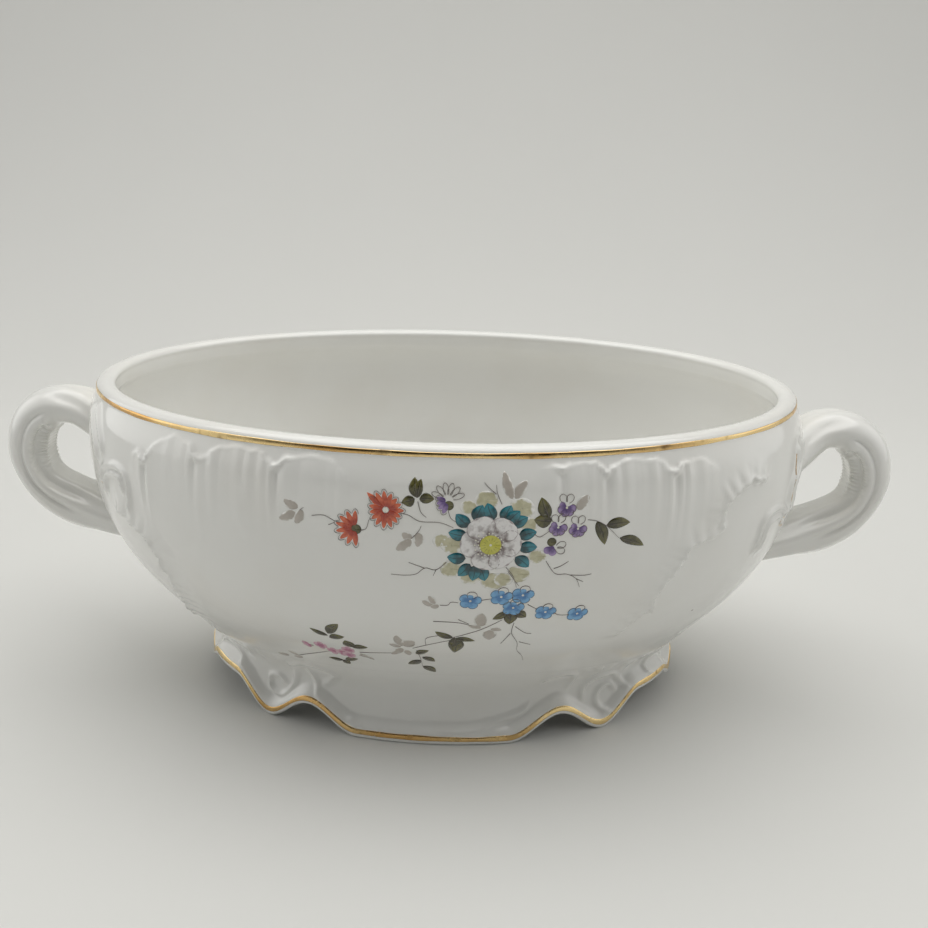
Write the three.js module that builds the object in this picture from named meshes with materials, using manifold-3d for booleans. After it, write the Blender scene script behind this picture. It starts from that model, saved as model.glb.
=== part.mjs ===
// Oval footed porcelain serving bowl with two loop handles, in millimetres, +Z up.
// The origin is on the table under the middle of the bowl; +X runs along the oval to the right handle.
import * as THREE from 'three';
import { mergeVertices } from 'three/addons/utils/BufferGeometryUtils.js';
import Module from 'manifold-3d';

const wasm = await Module();
wasm.setup();

// ---- Driving dimensions -------------------------------------------------------------------
const RIM_LENGTH = 272;            // along X, at the gold line
const RIM_WIDTH = 182;             // along Y, at the gold line
const GOLD_LINE_HEIGHT = 128.7;    // top of the gold line
const LIP_HALF_WIDTH = 3.5;        // rolled lip, flattened on top
const LIP_HALF_HEIGHT = 2.3;
const WALL = 4.5;
const FLOOR_THICKNESS = 5;
const FLOOR_HEIGHT = 14;           // underside of the bowl's floor
const FLOOR_LENGTH = 126;          // the flat middle of the floor
const FLOOR_RISE = 3.5;            // how far the floor turns up before the wall starts
const FOOT_LENGTH = 200;
const FOOT_WIDTH = 123;
const FOOT_COVE = 2.6;             // how far the cove draws in behind the foot's rim
const FOOT_ROLL = 2.6;             // how far the rolled rim stands out from the cove
const FOOT_WALL = 3.6;
const FOOT_SKIN = 1.3;             // the foot's thin top edge over the bowl, with its joint
const THROAT_LEVEL = 0.42;         // where the cove is narrowest, as a share of its height
const CREASE_AT_ENDS = 26;         // where the foot meets the bowl, at the handles
const CREASE_AT_SIDES = 33;        // and on the long sides
const GAP = 0.3;                   // slip joint between pieces
const GILDING = 0.4;               // modelled thickness of the gold
const RIM_GILDING_WIDTH = 1.7;
const FOOT_GILDING_WIDTH = 2;
const SEGMENTS = 80;               // facets round the oval
const FOOT_SEGMENTS = 120;
const HANDLE_SIDES = 16;
const HANDLE_STEPS = 32;

const RIM_R = RIM_LENGTH / 2;
const OVAL_STEP = (RIM_LENGTH - RIM_WIDTH) / 2;
const LINEAR_BELOW = 2 * OVAL_STEP;

// ---- Materials ----------------------------------------------------------------------------
const porcelain = new THREE.MeshStandardMaterial({ color: 0xe9eae6, roughness: 0.08, metalness: 0 });
const gold = new THREE.MeshStandardMaterial({ color: 0xb98a3c, roughness: 0.3, metalness: 1 });

// ---- Helpers ------------------------------------------------------------------------------
// Half width of the oval whose half length is r: a constant step narrower than it is long,
// shrinking to nothing at the centre.
function halfWidth(r) {
  return r > LINEAR_BELOW ? r - OVAL_STEP : r * 0.5;
}

// A ring or bowl of SEGMENTS facets from an outline of [half length, height] points.
function ovalLathe(outline) {
  const points = outline.map(([r, z]) => new THREE.Vector2(r, z));
  const geometry = new THREE.LatheGeometry(points, SEGMENTS);
  geometry.rotateX(Math.PI / 2);
  const position = geometry.attributes.position;
  for (let i = 0; i < position.count; i++) {
    const r = Math.hypot(position.getX(i), position.getY(i));
    if (r > 0) position.setY(i, position.getY(i) * halfWidth(r) / r);
  }
  return geometry;
}

// The upper half of an oval section, from its outer side over to its inner side.
function overTheTop(centreR, centreZ, halfWidthR, halfHeight, steps) {
  const points = [];
  for (let i = 0; i <= steps; i++) {
    const angle = Math.PI * i / steps;
    points.push([centreR + halfWidthR * Math.cos(angle), centreZ + halfHeight * Math.sin(angle)]);
  }
  return points;
}

function toManifold(geometry) {
  const bare = geometry.clone();
  for (const name of Object.keys(bare.attributes)) {
    if (name !== 'position') bare.deleteAttribute(name);
  }
  const merged = mergeVertices(bare, 1e-4);
  return new wasm.Manifold(new wasm.Mesh({
    numProp: 3,
    vertProperties: new Float32Array(merged.attributes.position.array),
    triVerts: new Uint32Array(merged.index.array),
  }));
}

function toGeometry(manifold) {
  const mesh = manifold.getMesh();
  const geometry = new THREE.BufferGeometry();
  geometry.setAttribute('position', new THREE.BufferAttribute(mesh.vertProperties, 3));
  geometry.setIndex(new THREE.BufferAttribute(mesh.triVerts, 1));
  geometry.computeVertexNormals();
  return geometry;
}

function part(name, geometry, material) {
  const mesh = new THREE.Mesh(geometry, material);
  mesh.name = name;
  return mesh;
}

// ---- Bowl body ----------------------------------------------------------------------------
// The outer wall as [half length, height]: out from the floor, up the belly, in to the lip.
const WALL_KNOTS = [
  [RIM_R - 41, 22.5], [RIM_R - 33.5, 26.5], [RIM_R - 25, 37], [RIM_R - 13, 52],
  [RIM_R - 3.5, 68], [RIM_R + 2.6, 86], [RIM_R + 4.4, 104], [RIM_R + 3.2, 118], [RIM_R, GOLD_LINE_HEIGHT - 2],
];
const wallCurve = new THREE.SplineCurve(WALL_KNOTS.map(([r, z]) => new THREE.Vector2(r, z)));

// Points up the wall, moved inwards by the given depth.
function wallPoints(depth, steps, from = 0, to = 1) {
  const points = [];
  for (let i = 0; i <= steps; i++) {
    const u = from + (to - from) * i / steps;
    const p = wallCurve.getPointAt(u);
    const t = wallCurve.getTangentAt(u);
    points.push([p.x - t.y * depth, p.y + t.x * depth]);
  }
  return points;
}

const LIP_CENTRE_R = RIM_R - 0.2 - LIP_HALF_WIDTH;
const LIP_CENTRE_Z = GOLD_LINE_HEIGHT - 0.6;
const COLLAR_R = LIP_CENTRE_R - LIP_HALF_WIDTH + 0.3;     // the straight band inside the lip
const COLLAR_TOP = LIP_CENTRE_Z - 0.9;
const COLLAR_BOTTOM = LIP_CENTRE_Z - 5.8;
const FLOOR_TURN_R = RIM_R - 52;

function bowlBody() {
  const floorTop = FLOOR_HEIGHT + FLOOR_THICKNESS;
  const outside = [
    [0, FLOOR_HEIGHT], [FLOOR_LENGTH / 2, FLOOR_HEIGHT], [FLOOR_TURN_R, FLOOR_HEIGHT + FLOOR_RISE],
    ...wallPoints(0, 11),
  ];
  const lip = overTheTop(LIP_CENTRE_R, LIP_CENTRE_Z, LIP_HALF_WIDTH, LIP_HALF_HEIGHT, 6);
  const collar = [
    [COLLAR_R, COLLAR_TOP], [COLLAR_R, COLLAR_BOTTOM], [RIM_R - 3.6, COLLAR_BOTTOM - 5],
  ];
  const inside = [
    ...wallPoints(WALL, 8, 0.06, 0.82).reverse(),
    [FLOOR_TURN_R, floorTop + FLOOR_RISE], [FLOOR_LENGTH / 2, floorTop], [0, floorTop],
  ];
  return part('bowl_body', ovalLathe([...outside, ...lip, ...collar, ...inside]), porcelain);
}

// The bowl's outer form grown by the joint gap, as a solid: what a luted piece is trimmed to.
function bowlEnvelope() {
  const outline = [
    [0, FLOOR_HEIGHT], [RIM_R - 56, FLOOR_HEIGHT], ...wallPoints(-GAP, 22), [RIM_R + GAP, LIP_CENTRE_Z + 6],
    [0, LIP_CENTRE_Z + 6],
  ];
  return toManifold(ovalLathe(outline));
}

// ---- Scalloped foot -----------------------------------------------------------------------
// Angle from the nearest end of the oval, 0 to 90 degrees, so that all four quarters are alike.
function quarterAngle(angle) {
  return THREE.MathUtils.radToDeg(Math.asin(Math.min(1, Math.abs(Math.sin(angle)))));
}

function hump(value, centre, halfSpan) {
  const x = Math.abs(value - centre) / halfSpan;
  return x < 1 ? Math.cos(x * Math.PI / 2) ** 2 : 0;
}

// Height of the foot's edge above the table: raised along each end, where it dips in two shallow lobes,
// down to the table at the corner lobes, and over an arch beside each of them.
function archHeight(angle) {
  const quarter = quarterAngle(angle);
  const end = 11.5 * (1 - THREE.MathUtils.smoothstep(quarter, 35, 48)) - 4.5 * hump(quarter, 12, 9);
  return end + 10.5 * hump(quarter, 60.5, 12.5);
}

function creaseHeight(angle) {
  return CREASE_AT_ENDS + (CREASE_AT_SIDES - CREASE_AT_ENDS) * Math.sin(angle) ** 2;
}

// The bowl's half length at a height, found by halving the stretch of wall that holds it.
function bodyRadiusAt(height) {
  let low = 0;
  let high = 1;
  for (let i = 0; i < 24; i++) {
    const middle = (low + high) / 2;
    if (wallCurve.getPointAt(middle).y < height) low = middle;
    else high = middle;
  }
  return wallCurve.getPointAt(low).x;
}

const ROLL_HEIGHTS = [3.6, 8.2];        // above the edge: where the rolled rim ends, and where it has died away

// A point of the foot: level runs from 0 at the edge to 1 at the crease, depth goes in from the face.
// The cove's face stays at least a skin's thickness outside the bowl that it is luted to.
function footPoint(angle, level, depth) {
  const crease = creaseHeight(angle);
  const edge = archHeight(angle);
  const height = edge + (crease - edge) * level;
  const flare = Math.max(0, 1 - level / THROAT_LEVEL);
  const rise = Math.max(0, (level - THROAT_LEVEL) / (1 - THROAT_LEVEL));
  const roll = 1 - THREE.MathUtils.smoothstep(height - edge, ROLL_HEIGHTS[0], ROLL_HEIGHTS[1]);
  const swell = FOOT_COVE * flare ** 1.5 + FOOT_ROLL * roll;
  const throatA = FOOT_LENGTH / 2 - FOOT_COVE - FOOT_ROLL;
  const throatB = FOOT_WIDTH / 2 - FOOT_COVE - FOOT_ROLL;
  const creaseA = bodyRadiusAt(crease) + FOOT_SKIN;
  const least = height > WALL_KNOTS[0][1] ? bodyRadiusAt(height) + FOOT_SKIN : 0;
  const a = Math.max(throatA + swell + (creaseA - throatA) * rise ** 2, least) - depth;
  const creaseB = creaseA - OVAL_STEP;
  const b = Math.max(throatB + swell + (creaseB - throatB) * rise ** 2, least - OVAL_STEP) - depth;
  return new THREE.Vector3(a * Math.cos(angle), b * Math.sin(angle), height);
}

function levelOf(angle, millimetresUp) {
  return millimetresUp / (creaseHeight(angle) - archHeight(angle));
}

// A closed ring whose outline changes as it goes round: pointAt gives each outline point at each angle.
// The lathe only supplies the faces, so its own outline is a plain circle.
function shapedRing(pointCount, pointAt) {
  const outline = [];
  for (let i = 0; i <= pointCount; i++) {
    const angle = 2 * Math.PI * (i % pointCount) / pointCount;
    outline.push(new THREE.Vector2(50 + 10 * Math.cos(angle), 10 * Math.sin(angle)));
  }
  const geometry = new THREE.LatheGeometry(outline, FOOT_SEGMENTS);
  geometry.rotateX(Math.PI / 2);
  const position = geometry.attributes.position;
  for (let j = 0; j <= FOOT_SEGMENTS; j++) {
    const first = j * (pointCount + 1);
    const angle = 2 * Math.PI * (j % FOOT_SEGMENTS) / FOOT_SEGMENTS;
    for (let i = 0; i <= pointCount; i++) {
      const p = pointAt(angle, i % pointCount);
      position.setXYZ(first + i, p.x, p.y, p.z);
    }
  }
  return geometry;
}

// Outside face from the edge over the rolled rim to the crease, then the inside, as [level, depth].
// The inside reaches into the bowl's form, which is then cut away.
const EDGE_BAND = [1.7, 1.7 + FOOT_GILDING_WIDTH];      // the gilded strip, up from the edge
const EDGE_ROUNDING = 1.2;
const COVE_SHARES = [0.25, 0.5, 0.75, 1];               // steps from the rolled rim up to the crease
const INSIDE_FACE = [[1, 20], [0.5, FOOT_WALL + 3], [0.2, FOOT_WALL]];

function footOutline(angle) {
  const rollEnd = levelOf(angle, ROLL_HEIGHTS[1]);
  return [
    [0, FOOT_WALL - EDGE_ROUNDING], [0, EDGE_ROUNDING], [levelOf(angle, EDGE_ROUNDING / 2), 0],
    ...EDGE_BAND.map((up) => [levelOf(angle, up), 0]),
    [levelOf(angle, 5.6), 0], [rollEnd, 0],
    ...COVE_SHARES.map((share) => [rollEnd + (1 - rollEnd) * share, 0]),
    ...INSIDE_FACE,
  ];
}

function footSkirt(envelope) {
  const count = footOutline(0).length;
  const ring = shapedRing(count, (angle, i) => footPoint(angle, ...footOutline(angle)[i]));
  return part('foot_skirt', toGeometry(toManifold(ring).subtract(envelope)), porcelain);
}

// ---- Handles ------------------------------------------------------------------------------
// The loop's middle line in the plane Y = 0: out under the lip, round, and back in at the belly.
const HANDLE_KNOTS = [
  [126, 100.5], [138.5, 106], [149.5, 112.4], [160, 112.4], [167.8, 106.5], [171.6, 96], [170, 85.5],
  [164.5, 77.2], [155, 71], [143, 67.6], [126, 64],
];
const handleCurve = new THREE.SplineCurve(HANDLE_KNOTS.map(([x, z]) => new THREE.Vector2(x, z)));

// Half thickness in the loop's plane and across it, at a share of the way round from the top,
// and how far the upper root leans over: to the front on the right, to the back on the left.
function handleSection(share) {
  const top = Math.max(0, 1 - share / 0.24);
  const bottom = Math.max(0, (share - 0.76) / 0.24);
  const middle = Math.sin(Math.PI * Math.min(1, share / 0.9));
  return {
    inPlane: 5.4 + 2.8 * middle + 7 * top ** 2 + 3.3 * hump(share, 0.82, 0.22) + 2.5 * bottom ** 1.5,
    across: 10.5 + 12 * top ** 2 + 5 * bottom ** 2,
    lean: 8 * top ** 1.5,
  };
}

function loopHandle(name, side, envelope) {
  const geometry = new THREE.CylinderGeometry(1, 1, 1, HANDLE_SIDES, HANDLE_STEPS);
  const position = geometry.attributes.position;
  for (let i = 0; i < position.count; i++) {
    const share = 0.5 - position.getY(i);
    const centre = handleCurve.getPoint(share);
    const tangent = handleCurve.getTangent(share);
    const section = handleSection(share);
    const outwards = position.getX(i) * section.inPlane;
    const across = position.getZ(i) * section.across + section.lean;
    position.setXYZ(
      i,
      side * (centre.x - tangent.y * outwards),
      -side * across,
      centre.y + tangent.x * outwards,
    );
  }
  return part(name, toGeometry(toManifold(geometry).subtract(envelope)), porcelain);
}

// ---- Gilding ------------------------------------------------------------------------------
function rimGilding() {
  const low = GOLD_LINE_HEIGHT - RIM_GILDING_WIDTH;
  const high = GOLD_LINE_HEIGHT - 0.1;
  const inner = RIM_R + GAP;
  const band = ovalLathe([
    [inner, low], [inner + GILDING, low], [inner + GILDING - 0.15, high], [inner - 0.15, high], [inner, low],
  ]);
  return part('rim_gilding', band, gold);
}

function footGilding() {
  const outline = (angle) => [
    [levelOf(angle, EDGE_BAND[0]), -GAP], [levelOf(angle, EDGE_BAND[0]), -GAP - GILDING],
    [levelOf(angle, EDGE_BAND[1]), -GAP - GILDING], [levelOf(angle, EDGE_BAND[1]), -GAP],
  ];
  return part('foot_gilding', shapedRing(4, (angle, i) => footPoint(angle, ...outline(angle)[i])), gold);
}

// ---- Assembly -----------------------------------------------------------------------------
const envelope = bowlEnvelope();
const bowl = new THREE.Group();
bowl.name = 'porcelain_serving_bowl';
bowl.add(
  bowlBody(),
  footSkirt(envelope),
  loopHandle('left_handle', -1, envelope),
  loopHandle('right_handle', 1, envelope),
  rimGilding(),
  footGilding(),
);

export default bowl;
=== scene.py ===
"""Looks for the oval porcelain serving bowl: relief, leaf handles, gilding, painted flowers and studio.

Lengths are in millimetres until a mesh is made. The wall has its own map: "across" is the arc along the
belly from the middle of a long side, to the right as that side is faced, and "down" is the distance
along the wall below the gold line. Both long sides carry the same relief and painting, turned half round.
The studio, its lights and the camera are in metres.
"""
import math

import bpy
import numpy as np
from mathutils import Matrix, Vector


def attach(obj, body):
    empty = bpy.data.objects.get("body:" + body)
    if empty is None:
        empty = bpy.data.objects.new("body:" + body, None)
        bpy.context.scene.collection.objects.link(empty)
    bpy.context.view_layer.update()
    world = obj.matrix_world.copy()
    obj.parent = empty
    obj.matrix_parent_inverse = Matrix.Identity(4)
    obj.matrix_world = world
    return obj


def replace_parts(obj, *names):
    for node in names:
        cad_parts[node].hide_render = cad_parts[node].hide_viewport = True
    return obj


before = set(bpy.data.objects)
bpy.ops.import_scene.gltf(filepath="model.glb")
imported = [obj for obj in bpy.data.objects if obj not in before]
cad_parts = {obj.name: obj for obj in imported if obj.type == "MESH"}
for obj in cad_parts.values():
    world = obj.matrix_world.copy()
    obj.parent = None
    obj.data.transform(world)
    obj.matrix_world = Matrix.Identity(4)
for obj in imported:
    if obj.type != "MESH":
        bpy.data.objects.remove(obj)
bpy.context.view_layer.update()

# ---- Driving sizes, the same as the part's ----
MM = 0.001
HALF_TURN = np.array([-1, -1, 1])
RIM_R = 136.0                  # half length of the oval at the gold line
OVAL_STEP = 45.0               # the oval is this much narrower than long, on each side
GOLD_TOP = 128.7
RIM_GILDING_WIDTH = 1.7
WALL_TOP = 126.7               # where the wall ends and the lip begins
LIP_HALF_WIDTH = 3.5
LIP_HALF_HEIGHT = 2.3
LIP_R = 132.3
LIP_Z = 128.1
WALL = 4.5
FLOOR_UNDER = 14.0
FLOOR_TOP = 19.0
FLOOR_R = 63.0
THROAT_A = 94.8                # the foot's cove, half length and half width
THROAT_B = 56.3
FOOT_COVE = 2.6
FOOT_ROLL = 2.6                # how far the rolled rim stands out from the cove
ROLL_START = 3.6               # above the foot's edge
ROLL_END = 8.2
COVE_DEPTH = 15.0              # the cove stops widening this far above the foot's edge
FOOT_WALL = 3.6
FOOT_BAND = (1.7, 3.7)         # the foot's gold, above the edge
END_ARCH = 11.5                # how far the foot's edge is raised along the ends
END_DIP = 4.5                  # the shallow lobes in that raised edge
SIDE_ARCH = 10.5
CREASE_AT_ENDS = 26.0
CREASE_AT_SIDES = 33.0
BELLY_A = 139.0                # the oval on which "across" is measured
BELLY_B = 94.0

WALL_KNOTS = [
    (RIM_R - 41, 22.5), (RIM_R - 33.5, 26.5), (RIM_R - 25, 37), (RIM_R - 13, 52),
    (RIM_R - 3.5, 68), (RIM_R + 2.6, 86), (RIM_R + 4.4, 104), (RIM_R + 3.2, 118), (RIM_R, WALL_TOP),
]
HANDLE_KNOTS = [
    (126, 100.5), (138.5, 106), (149.5, 112.4), (160, 112.4), (167.8, 106.5), (171.6, 96), (170, 85.5),
    (164.5, 77.2), (155, 71), (143, 67.6), (126, 64),
]


# ---- Curves ----
def curve_through(knots, steps=24):
    """Points along a smooth curve through the knots."""
    knots = np.asarray(knots, float)
    padded = np.vstack([knots[:1], knots, knots[-1:]])
    t = np.linspace(0, 1, steps, endpoint=False)[:, None]
    spans = []
    for before, start, end, after in zip(padded, padded[1:], padded[2:], padded[3:]):
        leave = (end - before) / 2
        arrive = (after - start) / 2
        cubic = 2 * start - 2 * end + leave + arrive
        square = -3 * start + 3 * end - 2 * leave - arrive
        spans.append(cubic * t**3 + square * t**2 + leave * t + start)
    return np.vstack(spans + [knots[-1:]])


def lengths_along(points):
    steps = np.linalg.norm(np.diff(points, axis=0), axis=1)
    return np.concatenate([[0], np.cumsum(steps)])


def smooth(x):
    x = np.clip(x, 0, 1)
    return x * x * (3 - 2 * x)


def bell(x):
    return np.exp(-x * x)


WALL_LINE = curve_through(WALL_KNOTS, 60)[::-1]
WALL_DOWN = lengths_along(WALL_LINE)
WALL_LENGTH = WALL_DOWN[-1]
WALL_SLOPE = np.gradient(WALL_LINE[:, 0]) / np.gradient(WALL_LINE[:, 1])

TURNS = np.linspace(-math.pi / 2, math.pi / 2, 2001)
ACROSS = lengths_along(np.column_stack([BELLY_A * np.sin(TURNS), -BELLY_B * np.cos(TURNS)]))
ACROSS = ACROSS - ACROSS[-1] / 2
HALF_ROUND = ACROSS[-1]


def half_width(r):
    return np.where(r > 2 * OVAL_STEP, r - OVAL_STEP, r * 0.5)


def wall_radius(z):
    return np.interp(z, WALL_LINE[::-1, 1], WALL_LINE[::-1, 0])


def wall_lean(z):
    return np.interp(z, WALL_LINE[::-1, 1], WALL_SLOPE[::-1])


# ---- Relief of the wall ----
def nearest(across, down, line):
    """Distance to a line, signed (positive to the right of its direction), and the arc along it."""
    line = np.asarray(line, float)
    arcs = lengths_along(line)
    best = np.full(across.shape, 1e9)
    side = np.ones(across.shape)
    along = np.zeros(across.shape)
    for start, end, arc in zip(line, line[1:], arcs):
        step = end - start
        length = math.hypot(*step)
        x = across - start[0]
        y = down - start[1]
        share = np.clip((x * step[0] + y * step[1]) / length**2, 0, 1)
        distance = np.hypot(x - share * step[0], y - share * step[1])
        closer = distance < best
        best = np.where(closer, distance, best)
        side = np.where(closer, np.sign(step[0] * y - step[1] * x), side)
        along = np.where(closer, arc + share * length, along)
    return best * side, along


def ridge(across, down, line, width, height):
    """A rounded moulding that follows a smooth line."""
    curve = curve_through(line, 6)
    distance, along = nearest(across, down, curve)
    ends = smooth(along / 4 + 0.3) * smooth((lengths_along(curve)[-1] - along) / 4 + 0.3)
    return height * bell(distance / width) * ends


def drapes(across, down, hem, seams):
    """Hanging folds under a ragged hem, with deep seams and bright crescents at the hem's low points."""
    hem = np.asarray(hem, float)
    ragged = 0.5 * np.abs(np.sin(across * 1.15)) + 0.35 * np.sin(across * 0.73 + 1)
    below = down - np.interp(across, hem[:, 0], hem[:, 1]) - ragged
    inside = smooth((across - hem[0, 0]) / 7) * smooth((hem[-1, 0] - across) / 5)
    fade = smooth(1 - below / 32)
    folds = 0.5 + 0.5 * np.cos(across * 1.15 + 2.4 * np.sin(across * 0.23) + 0.9 * np.sin(across * 0.61))
    fine = 0.5 + 0.5 * np.cos(across * 2.9 + 2 * np.sin(across * 0.21))
    uneven = 0.6 + 0.4 * np.sin(across * 0.17 + 0.6) * np.cos(across * 0.071)
    height = smooth(below / 1.1) * fade * (0.3 + uneven * (0.5 * folds + 0.18 * fine))
    lip = 0.35 * uneven * bell((below - 0.7) / 0.6)
    for seam in seams:
        height -= 0.7 * bell((across - seam) / 1.2) * smooth(below / 3) * smooth(1 - below / 20)
        lip += 1.2 * bell((across - seam) / 2.6) * bell((below - 0.1) / 0.8)
    return inside * (height + lip)


def frill(across, down, edge, knuckle, reach, height):
    """A ruffled leaf edge: knuckles along the line that die away behind it."""
    distance, along = nearest(across, down, edge)
    wave = np.abs(np.sin(math.pi * along / knuckle + 0.8 * np.sin(along * 0.23)))
    behind = distance + 0.9 * wave
    total = lengths_along(np.asarray(edge, float))[-1]
    ends = smooth(along / 8) * smooth((total - along) / 8)
    body = smooth(behind / 1.1) * smooth(1 - behind / reach)
    return height * ends * (body * (0.35 + 0.65 * wave) + 0.55 * bell((behind - 0.8) / 0.9))


LEFT_HEM = [
    (-112, 12), (-106.5, 10), (-102.8, 12.7), (-99.7, 7.5), (-95.8, 3.6), (-90.5, 1), (-86, 1.6), (-83, 2.6),
    (-79.6, 7.2), (-76.5, 6.4), (-74, 4.1), (-70, 1.4), (-66, 0.6), (-56.7, 0.8), (-52, 4), (-49, 5.6),
    (-46.4, 2.6), (-42, 1), (-35, 0.6), (-31.5, 1), (-29.5, 3.4), (-27.4, 5), (-25.6, 7.8), (-24.6, 15.7),
    (-23, 22),
]
RIGHT_HEM = [
    (33, 1), (37.3, 1.7), (41.5, 3.2), (44, 1.2), (52.8, 0.6), (55.9, 5.5), (58.3, 3), (62, 0.6), (69, 0.8),
    (75.4, 2), (78, 5), (80.7, 6.8), (83.5, 3.9), (87.3, 2.8), (92, 3.4), (99, 7),
]
LEFT_SEAMS = [-102.8, -79.6, -49]
RIGHT_SEAMS = [41.5, 55.9, 80.7]
RIGHT_LEAF_EDGE = [
    (126, 17), (119.7, 16.6), (113.3, 14.7), (107.7, 17), (101.5, 20.8), (100.6, 26), (102, 29.5),
    (98.8, 31.4), (92, 32.9), (87.9, 34.3), (87, 38), (84.3, 44), (82, 47.5), (81.5, 51.5), (79, 54.5),
    (81.4, 60.8), (77.8, 62.2), (73.4, 71), (73.8, 77.6),
]
LEFT_LEAF_EDGE = [
    (-118.8, 92), (-112, 78), (-107, 69), (-104.8, 61.4), (-105.3, 55), (-105.2, 48.6), (-108.5, 43),
    (-112.8, 40.6), (-120.5, 37.6), (-129, 37),
]
SCROLLS = [
    [(-135, 30), (-132, 23.5), (-125, 20), (-118, 19.3), (-113.7, 22), (-112.8, 28), (-114.5, 35)],
    [(-132, 33), (-129, 25.5), (-124, 23), (-119, 22.5), (-116.8, 25), (-116.5, 29)],
    [(124.5, 46), (123.9, 36), (126.4, 31.3), (134, 30.3), (141, 32.5), (146, 36)],
    [(128.6, 47), (128.1, 38.5), (131, 34.8), (137, 34.5), (141.5, 37.5)],
]
END_STRAPS = [
    [(-143.5, 1), (-137, 7), (-132, 13), (-131, 18)], [(-149, 3), (-143, 10), (-138.5, 16), (-137, 22)],
    [(156, 9), (155.5, 18), (150, 26), (152, 38)], [(149.5, 10), (149, 18), (144, 25.5), (146.5, 36)],
]
FAINT_VEINS = [
    [(-18, 13), (-12, 9), (-3, 8), (5, 6), (12.4, 3.2)], [(-14, 30), (-5, 33), (4, 30)],
    [(62, 12), (60, 22), (64, 30)], [(-60, 12), (-62, 24), (-58, 34)],
]


def wall_relief(across, down):
    """Height of the moulding above the plain wall."""
    height = drapes(across, down, LEFT_HEM, LEFT_SEAMS) + drapes(across, down, RIGHT_HEM, RIGHT_SEAMS)
    height += frill(across, down, RIGHT_LEAF_EDGE, 4.3, 11, 1.25)
    height += frill(across, down, LEFT_LEAF_EDGE, 5.4, 12, 1.5)
    for lines, width, rise in [(SCROLLS, 1.0, 1.4), (END_STRAPS, 1.3, 1.3), (FAINT_VEINS, 2.2, 0.2)]:
        for line in lines:
            height += ridge(across, down, line, width, rise)
    return height


def wall_point(across, down, lift=0.0, back=False):
    """Point on the moulded wall, or lifted off it, for arrays of across and down."""
    across = np.asarray(across, float)
    down = np.asarray(down, float)
    theta = np.interp(across, ACROSS, TURNS) - math.pi / 2
    a = np.interp(down, WALL_DOWN, WALL_LINE[:, 0])
    z = np.interp(down, WALL_DOWN, WALL_LINE[:, 1])
    slope = np.interp(down, WALL_DOWN, WALL_SLOPE)
    b = half_width(a)
    normal = np.stack([
        np.cos(theta) / a,
        np.sin(theta) / b,
        -(np.cos(theta) ** 2 / a + np.sin(theta) ** 2 / b) * slope,
    ], axis=-1)
    normal = normal / np.linalg.norm(normal, axis=-1, keepdims=True)
    height = wall_relief(across, down) * smooth(down / 1.5) + lift
    point = np.stack([a * np.cos(theta), b * np.sin(theta), z], axis=-1) + normal * height[..., None]
    return point * HALF_TURN if back else point


# ---- Meshes ----
def grid_faces(rows, columns, wrap_rows=False, wrap_columns=False):
    i = np.arange(rows if wrap_rows else rows - 1)[:, None]
    j = np.arange(columns if wrap_columns else columns - 1)[None, :]
    next_i = (i + 1) % rows
    next_j = (j + 1) % columns
    quads = [i * columns + j, i * columns + next_j, next_i * columns + next_j, next_i * columns + j]
    return np.stack(quads, axis=-1).reshape(-1, 4)


def new_piece(name, points, faces, material, uv=None, rounded=None):
    """A piece of the look; rounded says which faces are shaded smooth, or all of them."""
    mesh = bpy.data.meshes.new(name)
    mesh.from_pydata((np.asarray(points) * MM).tolist(), [], [list(map(int, face)) for face in faces])
    mesh.polygons.foreach_set("use_smooth", [True] * len(mesh.polygons) if rounded is None else rounded)
    if uv is not None:
        layer = mesh.uv_layers.new(name="strokes")
        corners = np.zeros(len(mesh.loops), np.int32)
        mesh.loops.foreach_get("vertex_index", corners)
        layer.data.foreach_set("uv", np.asarray(uv)[corners].ravel())
    mesh.materials.append(material)
    piece = bpy.data.objects.new(name, mesh)
    bpy.context.collection.objects.link(piece)
    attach(piece, "root")
    return piece


def ring_solid(sections):
    """Points and faces of a closed ring from sections of shape (around, outline, 3)."""
    around, outline = sections.shape[:2]
    return sections.reshape(-1, 3), grid_faces(around, outline, wrap_rows=True, wrap_columns=True)


# ---- Materials ----
GLAZE_WHITE = (0.87, 0.868, 0.84)
GLAZE_WARM = (0.83, 0.815, 0.77)


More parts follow.
